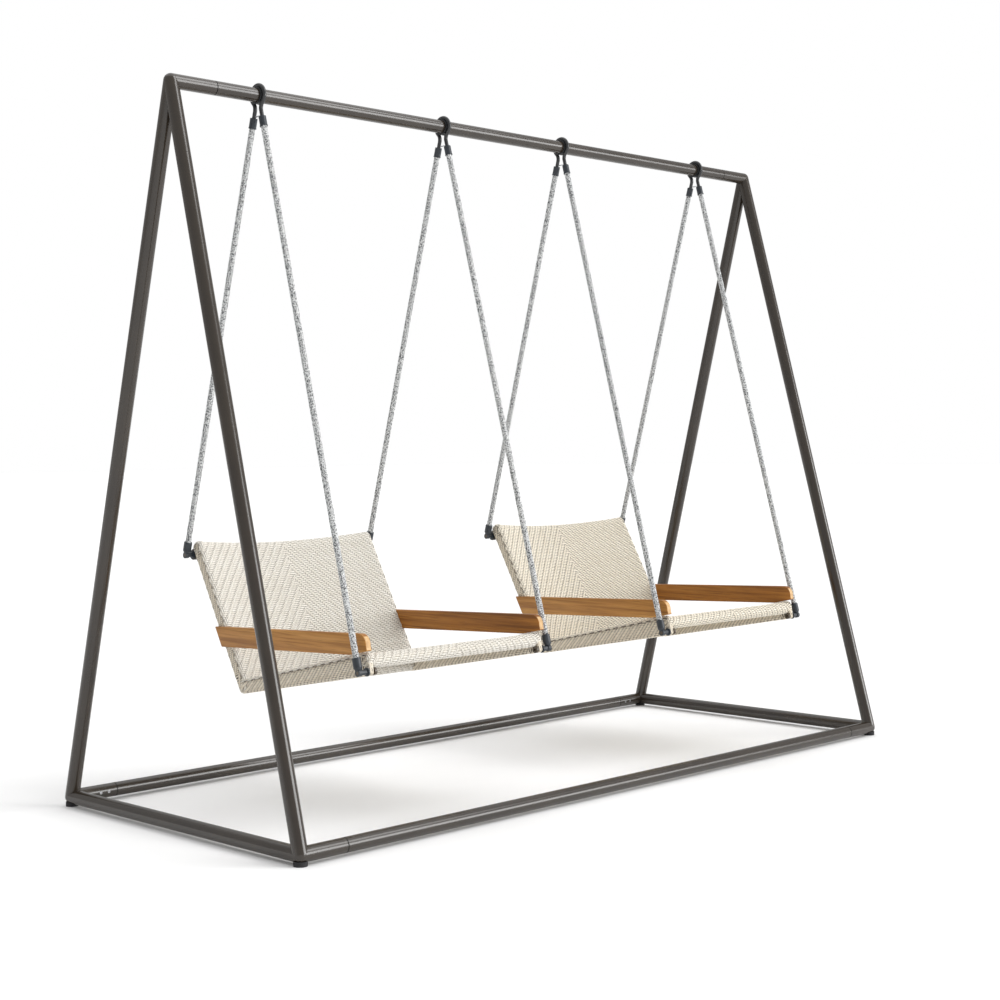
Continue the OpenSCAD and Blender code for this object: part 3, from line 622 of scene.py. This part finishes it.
def braided_rope(name, start, end):
    """A rope of strands that wind both ways and pass two over, two under."""
    length = np.linalg.norm(end - start)
    along = (end - start) / length
    across = unit(np.cross(along, np.array([1.0, 0, 0])))
    third = np.cross(along, across)
    beat = BRAID_PITCH / (2 * BRAID_STRANDS)
    t = np.linspace(0, length, int(length / beat))[None, :]
    beats = t / beat
    k = np.arange(BRAID_STRANDS)[:, None]
    sets = []
    for way in (1, -1):
        turn = way * 2 * np.pi * t / BRAID_PITCH + 2 * np.pi * k / BRAID_STRANDS
        swing = way * np.sin(np.pi / 2 * (2 * k + way * beats) + np.pi / 4)
        reach = BRAID_R + BRAID_SWING * swing
        outward = np.cos(turn)[..., None] * across + np.sin(turn)[..., None] * third
        lines = start + t[..., None] * along + reach[..., None] * outward
        sets.append((lines, outward, swing * BRAID_SWING))
    lines, outward, lift = (np.concatenate(p) for p in zip(*sets))
    made = cords(lines, outward, BRAID_HALF_W, BRAID_HALF_T, False, lift, BRAID_SWING)
    return mesh_object(name, *made), length


def ropes(seat, offset, finish):
    """The four ropes of one seat."""
    for word, side in sides_of(offset).items():
        for which, pin in (("front", FRONT_PIN), ("rear", REAR_PIN)):
            start, end = rope_line(pin, side, offset)
            piece, length = braided_rope(f"{seat}_{word}_{which}_braid", start, end)
            piece.data.materials.append(finish)
            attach(piece, seat)
            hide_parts(f"{seat}_{word}_{which}_rope")


def crossing(p, q, r, s):
    """Where the line through p and q meets the line through r and s."""
    p, q, r, s = (np.asarray(v, float) for v in (p, q, r, s))
    d, e, gap = q - p, s - r, r - p
    return tuple(p + d * (gap[0] * e[1] - gap[1] * e[0]) / (d[0] * e[1] - d[1] * e[0]))


def arm_outline():
    """The outline of an armrest in the (y, z) plane, from the top of its rear end forward."""
    outline = [arm_pt(0, 0)]
    mid_a, mid_d = ARM_LEN - ARM_ROUND, ARM_ROUND
    for i in range(ARM_ARC_STEPS + 1):
        turn = (math.pi / 2 + ARM_RAKE) * i / ARM_ARC_STEPS
        outline.append(arm_pt(mid_a + ARM_ROUND * math.sin(turn), mid_d - ARM_ROUND * math.cos(turn)))
    toe = arm_pt(ARM_LEN + ARM_H * math.tan(ARM_RAKE), ARM_H)
    tail = arm_pt(ARM_H * math.tan(RECLINE - ARM_RISE), ARM_H)
    ledge = (seat_pt(0, side_h(0)), seat_pt(SIDE_LEN, side_h(SIDE_LEN)))
    return outline + [crossing(outline[-1], toe, *ledge), crossing(tail, toe, *ledge), tail]


def armrest(name, side, offset, finishes):
    """A board with a rounded upper front corner and eased edges, cut to sit on the seat side."""
    outline = arm_outline()
    bm = bmesh.new()
    near, far = (
        [bm.verts.new(((side * x + offset) * MM, y * MM, z * MM)) for y, z in outline]
        for x in (ARM_IN, ARM_IN + ARM_T))
    bm.faces.new(near)
    bm.faces.new(far[::-1])
    last = len(outline)
    # End grain, paler partly with painted light, from halfway round the front corner down, and on the rear
    # end
    ends = set(range(ARM_ARC_STEPS // 2, last - 3)) | {last - 1}
    for i in range(last):
        j = (i + 1) % last
        face = bm.faces.new((near[j], near[i], far[i], far[j]))
        face.material_index = 1 if i in ends else 0
    bmesh.ops.recalc_face_normals(bm, faces=bm.faces)
    sharp = [e for e in bm.edges if e.calc_face_angle(0) > ARM_BEVEL_ANGLE]
    bmesh.ops.bevel(
        bm, geom=sharp, offset=ARM_BEVEL * MM, segments=ARM_BEVEL_STEPS, profile=0.5, affect="EDGES")
    mesh = bpy.data.meshes.new(name)
    bm.to_mesh(mesh)
    bm.free()
    mesh.shade_smooth()
    mesh.set_sharp_from_angle(angle=ARM_SHARP_ANGLE)
    for finish in finishes:
        mesh.materials.append(finish)
    return add_object(name, mesh)


def arms(seat, offset, finishes):
    """The two armrests of one seat."""
    for word, side in sides_of(offset).items():
        piece = armrest(f"{seat}_{word}_armrest", side, offset, finishes[side])
        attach(piece, seat)
        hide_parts(f"{seat}_{word}_arm")


def shade(colour, share):
    return tuple(c * share for c in colour)


class Finish:
    """A Principled material with helpers for its texture nodes. Scales are in cycles per metre."""

    def __init__(self, name, **sockets):
        self.material = bpy.data.materials.new(name)
        self.material.use_nodes = True
        self.tree = self.material.node_tree
        self.shader = self.tree.nodes["Principled BSDF"]
        for key, value in sockets.items():
            socket = key.replace("_", " ").title().replace("Ior", "IOR")
            self.shader.inputs[socket].default_value = value

    def feed(self, socket, value):
        """Links another node's output to a socket, or sets the socket's own value."""
        if hasattr(value, "is_output"):
            self.tree.links.new(value, socket)
        else:
            socket.default_value = value

    def to(self, socket, value):
        self.tree.links.new(value, self.shader.inputs[socket])

    def node(self, kind, settings=None, **inputs):
        made = self.tree.nodes.new("ShaderNode" + kind)
        for key, value in (settings or {}).items():
            setattr(made, key, value)
        for key, value in inputs.items():
            self.feed(made.inputs[key.replace("_", " ")], value)
        return made

    def place(self, scale=(1, 1, 1), turn=(0, 0, 0)):
        spot = self.node("TexCoord").outputs["Object"]
        return self.node("Mapping", Vector=spot, Scale=scale, Rotation=turn).outputs["Vector"]

    def axis(self, vector, letter):
        return self.node("SeparateXYZ", Vector=vector).outputs[letter]

    def noise(self, vector, detail=3.0, roughness=0.55):
        return self.node(
            "TexNoise", Vector=vector, Scale=1.0, Detail=detail, Roughness=roughness).outputs["Fac"]

    def speckle(self, scale, detail=3.0):
        """Noise that is the same in all directions."""
        return self.noise(self.place((scale, scale, scale)), detail)

    def ramp(self, value, *stops):
        made = self.node("ValToRGB", Fac=value)
        points = made.color_ramp.elements
        while len(points) < len(stops):
            points.new(0.5)
        for point, (at, colour) in zip(points, stops):
            point.position = at
            point.color = (*colour, 1)
        return made.outputs["Color"]

    def two_tone(self, noise, dark, light):
        return self.ramp(noise, (NOISE_LOW, dark), (NOISE_HIGH, light))

    def mix(self, share, a, b, kind="MIX"):
        made = self.node("Mix", {"data_type": "RGBA", "blend_type": kind}, Factor=share)
        colours = [s for s in made.inputs if s.type == "RGBA"]
        for socket, value in zip(colours, (a, b)):
            self.feed(socket, value if hasattr(value, "is_output") else (*value, 1))
        return next(s for s in made.outputs if s.type == "RGBA")

    def span(self, value, low, high, from_low=NOISE_LOW, from_high=NOISE_HIGH):
        return self.node(
            "MapRange", Value=value, From_Min=from_low, From_Max=from_high, To_Min=low, To_Max=high,
        ).outputs["Result"]

    def math(self, operation, *values):
        made = self.node("Math", {"operation": operation})
        for socket, value in zip(made.inputs, values):
            self.feed(socket, value)
        return made.outputs["Value"]

    def bump(self, height, strength, distance, under=None):
        made = self.node("Bump", Height=height, Strength=strength, Distance=distance)
        if under is not None:
            self.feed(made.inputs["Normal"], under)
        return made.outputs["Normal"]

    def cord_values(self, fibre_scale):
        """What the cord meshes carry: each cord's tone, the depth of a place, and fibres along a cord."""
        tone, recess = (
            self.node("Attribute", {"attribute_name": key}).outputs["Fac"] for key in ("tone", "recess"))
        strand = self.node("UVMap", {"uv_map": "strand"}).outputs["UV"]
        along = self.node("Mapping", Vector=strand, Scale=fibre_scale).outputs["Vector"]
        return tone, recess, self.noise(along, detail=2.0)


def coated_metal(name, dark, light, rough, peel, seam_shadows):
    """Coated metal: slight mottling, orange peel and uneven gloss, and a painted shadow line where two rail
    ends meet.
    """
    f = Finish(name, ior=1.6)
    base = f.two_tone(f.speckle(6.0, detail=4.0), dark, light)
    grit = f.speckle(1400.0, detail=1.0)
    colour = f.mix(f.span(grit, 0.0, 0.12), base, shade(dark, 0.6))
    gloss = f.span(f.speckle(30.0), rough - 0.02, rough + 0.03)
    if seam_shadows:
        x = f.axis(f.place(), "X")
        # Painted shadow: a dark band without gloss where two rail ends meet, in place of the shade in the
        # gap.
        seam_shadow = f.math("COMPARE", f.math("ABSOLUTE", x), SEAM_X * MM, SEAM_HALF * MM)
        colour = f.mix(seam_shadow, colour, shade(dark, 0.1))
        gloss = f.math("MAXIMUM", gloss, seam_shadow)
    f.to("Base Color", colour)
    f.to("Roughness", gloss)
    f.to("Normal", f.bump(f.speckle(peel, detail=2.0), strength=0.015, distance=0.0004))
    return f.material


def seat_frame_metal(name, dark, light, covered_dark, covered_light):
    """The seat frame's coat: ivory where the weave covers it, dark on the lugs behind the back."""
    f = Finish(name, ior=1.5)
    rear_face = HEEL_Y * math.cos(RECLINE) - HEEL_Z * math.sin(RECLINE)
    behind = f.axis(f.place(turn=(RECLINE, 0, 0)), "Y")
    edge = rear_face - LUG_EDGE
    on_lug = f.span(behind, 0.0, 1.0, (edge - LUG_FADE) * MM, edge * MM)
    cloud = f.speckle(6.0, detail=4.0)
    lug = f.two_tone(cloud, dark, light)
    covered = f.two_tone(cloud, covered_dark, covered_light)
    f.to("Base Color", f.mix(on_lug, covered, lug))
    f.to("Roughness", f.span(f.speckle(30.0), 0.35, 0.5))
    f.to("Normal", f.bump(f.speckle(850.0, detail=2.0), strength=0.12, distance=0.0006))
    return f.material


def moulded(name, dark, light, rough):
    """Moulded plastic or rubber with a fine spark texture."""
    f = Finish(name, ior=1.48)
    f.to("Base Color", f.two_tone(f.speckle(40.0, detail=4.0), dark, light))
    f.to("Roughness", f.span(f.speckle(90.0), rough - 0.06, rough + 0.08))
    f.to("Normal", f.bump(f.speckle(1800.0, detail=2.0), strength=0.15, distance=0.0003))
    return f.material


def brushed(name, tint, rough):
    """Turned or brushed bare metal."""
    f = Finish(name, metallic=1.0)
    lines = f.noise(f.place((300, 300, 2500)), detail=2.0)
    f.to("Base Color", f.two_tone(lines, shade(tint, 0.8), tint))
    f.to("Roughness", f.span(lines, rough - 0.08, rough + 0.1))
    f.to("Normal", f.bump(lines, strength=0.1, distance=0.0002))
    return f.material


def woven_cord(name, pale, mid, recess_shade, shallow, deepest):
    """Outdoor cord: fine fibres, each cord a little different, and painted shade where it dives under."""
    f = Finish(name, ior=1.45, sheen_weight=0.15, sheen_roughness=0.5)
    tone, recess, fibre = f.cord_values((380.0, 9.0, 1.0))
    cloud = f.speckle(22.0)
    base = f.mix(f.span(cloud, 0.0, 0.5), f.ramp(tone, (0.0, mid), (1.0, pale)), mid)
    # Painted shade: the colour darkens where the cord lies deep in the weave.
    recess_shaded = f.mix(f.span(recess, 0.0, 1.0, shallow, deepest), base, recess_shade)
    f.to("Base Color", f.mix(f.span(fibre, 0.0, 0.3), recess_shaded, mid, "MULTIPLY"))
    f.to("Roughness", f.span(fibre, 0.5, 0.68))
    f.to("Normal", f.bump(fibre, strength=0.25, distance=0.0004))
    return f.material


def rope_finish(name, pale, mid, fleck):
    """Braided rope: pale strands with scattered dark flecks, and painted shade where the strands dive
    under.
    """
    f = Finish(name, ior=1.45, sheen_weight=0.1, sheen_roughness=0.5)
    tone, recess, fibre = f.cord_values((500.0, 7.0, 1.0))
    spots = f.span(f.speckle(280.0, detail=1.0), 0.0, 1.0, 0.5, 0.58)
    flecked = f.mix(spots, f.ramp(tone, (0.0, mid), (1.0, pale)), fleck)
    # Painted shade: darker where the strands lie deep in the braid.
    f.to("Base Color", f.mix(f.span(recess, 0.0, 0.8, 0.2, 0.8), flecked, shade(fleck, 0.4)))
    f.to("Roughness", f.span(fibre, 0.55, 0.75))
    f.to("Normal", f.bump(fibre, strength=0.3, distance=0.0003))
    return f.material


def teak(name, light, mid, dark, grain=LONG_GRAIN):
    """Oiled teak: long figure and fine dark pores along the board, or the short marks of its end."""
    f = Finish(name, ior=1.45)
    figure_scale, band_scale, pore_scale = grain
    turn = (ARM_RISE, 0, 0)
    figure = f.noise(f.place(figure_scale, turn), detail=5.0, roughness=0.6)
    bands = f.noise(f.place(band_scale, turn))
    pores = f.noise(f.place(pore_scale), detail=2.0)
    base = f.ramp(figure, (0.3, dark), (0.5, mid), (0.72, light))
    streaked = f.mix(f.span(bands, 0.0, 0.75, 0.48, 0.68), base, dark)
    f.to("Base Color", f.mix(f.span(pores, 0.0, 0.55, 0.56, 0.72), streaked, shade(dark, 0.5)))
    f.to("Roughness", f.span(bands, 0.4, 0.56))
    ridges = f.bump(figure, strength=0.08, distance=0.0008)
    f.to("Normal", f.bump(pores, strength=0.12, distance=0.0004, under=ridges))
    return f.material


def paint_frame():
    """Better finishes for the CAD parts that stay."""
    finishes = {
        slot: make(f"{slot}_look", *values)
        for make, table in ((coated_metal, COATED), (moulded, MOULDED), (brushed, BRUSHED))
        for slot, values in table.items()
    }
    seat_frame = seat_frame_metal("seat_frame_look", *COAT, *COVERED_COAT)
    for name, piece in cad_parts.items():
        for holder in piece.material_slots:
            slot = holder.material.name.split(".")[0]
            if name.endswith("_seat_frame"):
                holder.material = seat_frame
            elif slot in finishes:
                holder.material = finishes[slot]


def camera():
    flat = Vector((math.sin(CAM_YAW), math.cos(CAM_YAW), 0))
    forward = flat * math.cos(CAM_PITCH) + Vector((0, 0, math.sin(CAM_PITCH)))
    right = forward.cross(Vector((0, 0, 1))).normalized()
    up = right.cross(forward)
    right_rolled = math.cos(CAM_ROLL) * right + math.sin(CAM_ROLL) * up
    up_rolled = -math.sin(CAM_ROLL) * right + math.cos(CAM_ROLL) * up
    data = bpy.data.cameras.new("camera")
    data.sensor_fit = "HORIZONTAL"
    data.sensor_width = CAM_SENSOR
    data.lens = CAM_LENS
    data.shift_y = CAM_SHIFT
    data.clip_end = CAM_FAR
    cam = add_object("camera", data)
    turn = Matrix((right_rolled, up_rolled, -forward)).transposed().to_4x4()
    cam.matrix_world = Matrix.Translation(CAM_PLACE) @ turn
    bpy.context.scene.camera = cam


def sky():
    """An even white sky, brighter where the camera sees it than as a light."""
    world = bpy.data.worlds.new("studio")
    bpy.context.scene.world = world
    world.use_nodes = True
    tree = world.node_tree
    lit = tree.nodes["Background"]
    seen = tree.nodes.new("ShaderNodeBackground")
    for background, strength in ((lit, SKY_STRENGTH), (seen, 1.0)):
        background.inputs["Color"].default_value = (1, 1, 1, 1)
        background.inputs["Strength"].default_value = strength
    choose = tree.nodes.new("ShaderNodeMixShader")
    path = tree.nodes.new("ShaderNodeLightPath")
    tree.links.new(path.outputs["Is Camera Ray"], choose.inputs[0])
    tree.links.new(lit.outputs[0], choose.inputs[1])
    tree.links.new(seen.outputs[0], choose.inputs[2])
    tree.links.new(choose.outputs[0], tree.nodes["World Output"].inputs["Surface"])


def floor():
    mesh = bpy.data.meshes.new("floor")
    corners = [(x * FLOOR_HALF, y * FLOOR_HALF, 0) for x, y in ((-1, -1), (1, -1), (1, 1), (-1, 1))]
    mesh.from_pydata(corners, [], [(0, 1, 2, 3)])
    f = Finish("floor_look", roughness=0.9)
    f.to("Base Color", f.two_tone(f.speckle(3.0), FLOOR_DARK, FLOOR_LIGHT))
    mesh.materials.append(f.material)
    add_object("floor", mesh)


def sun(name, source, softness, strength):
    """A wide soft light from far away in the direction of source."""
    data = bpy.data.lights.new(name, "SUN")
    data.angle = math.radians(softness)
    data.energy = strength
    light = add_object(name, data)
    light.rotation_mode = "QUATERNION"
    light.rotation_quaternion = Vector(source).to_track_quat("Z", "Y")


def studio():
    sky()
    floor()
    for name, values in SUNS.items():
        sun(name, *values)
    view = bpy.context.scene.view_settings
    view.view_transform = "Standard"
    view.look = "None"


camera()
studio()
paint_frame()
rope_look = rope_finish("grey_rope", *ROPE_COLOURS)
# The ends' paler teak is partly end grain and partly painted light on the front ends that face the lamps.
board_end_and_light = teak(*BOARD_END_AND_LIGHT, END_GRAIN)
boards = {side: [teak(*look), board_end_and_light] for side, look in BOARDS.items()}
for seat_name, seat_x in SEATS.items():
    word = seat_name.split("_")[0]
    panel_cord = woven_cord(f"ivory_cord_{word}", *PANEL_CORD[seat_name])
    wrap_cord = woven_cord(f"ivory_wrap_{word}", *WRAP_CORD[seat_name])
    woven_shell(seat_name, seat_x, panel_cord, wrap_cord)
    ropes(seat_name, seat_x, rope_look)
    arms(seat_name, seat_x, boards)
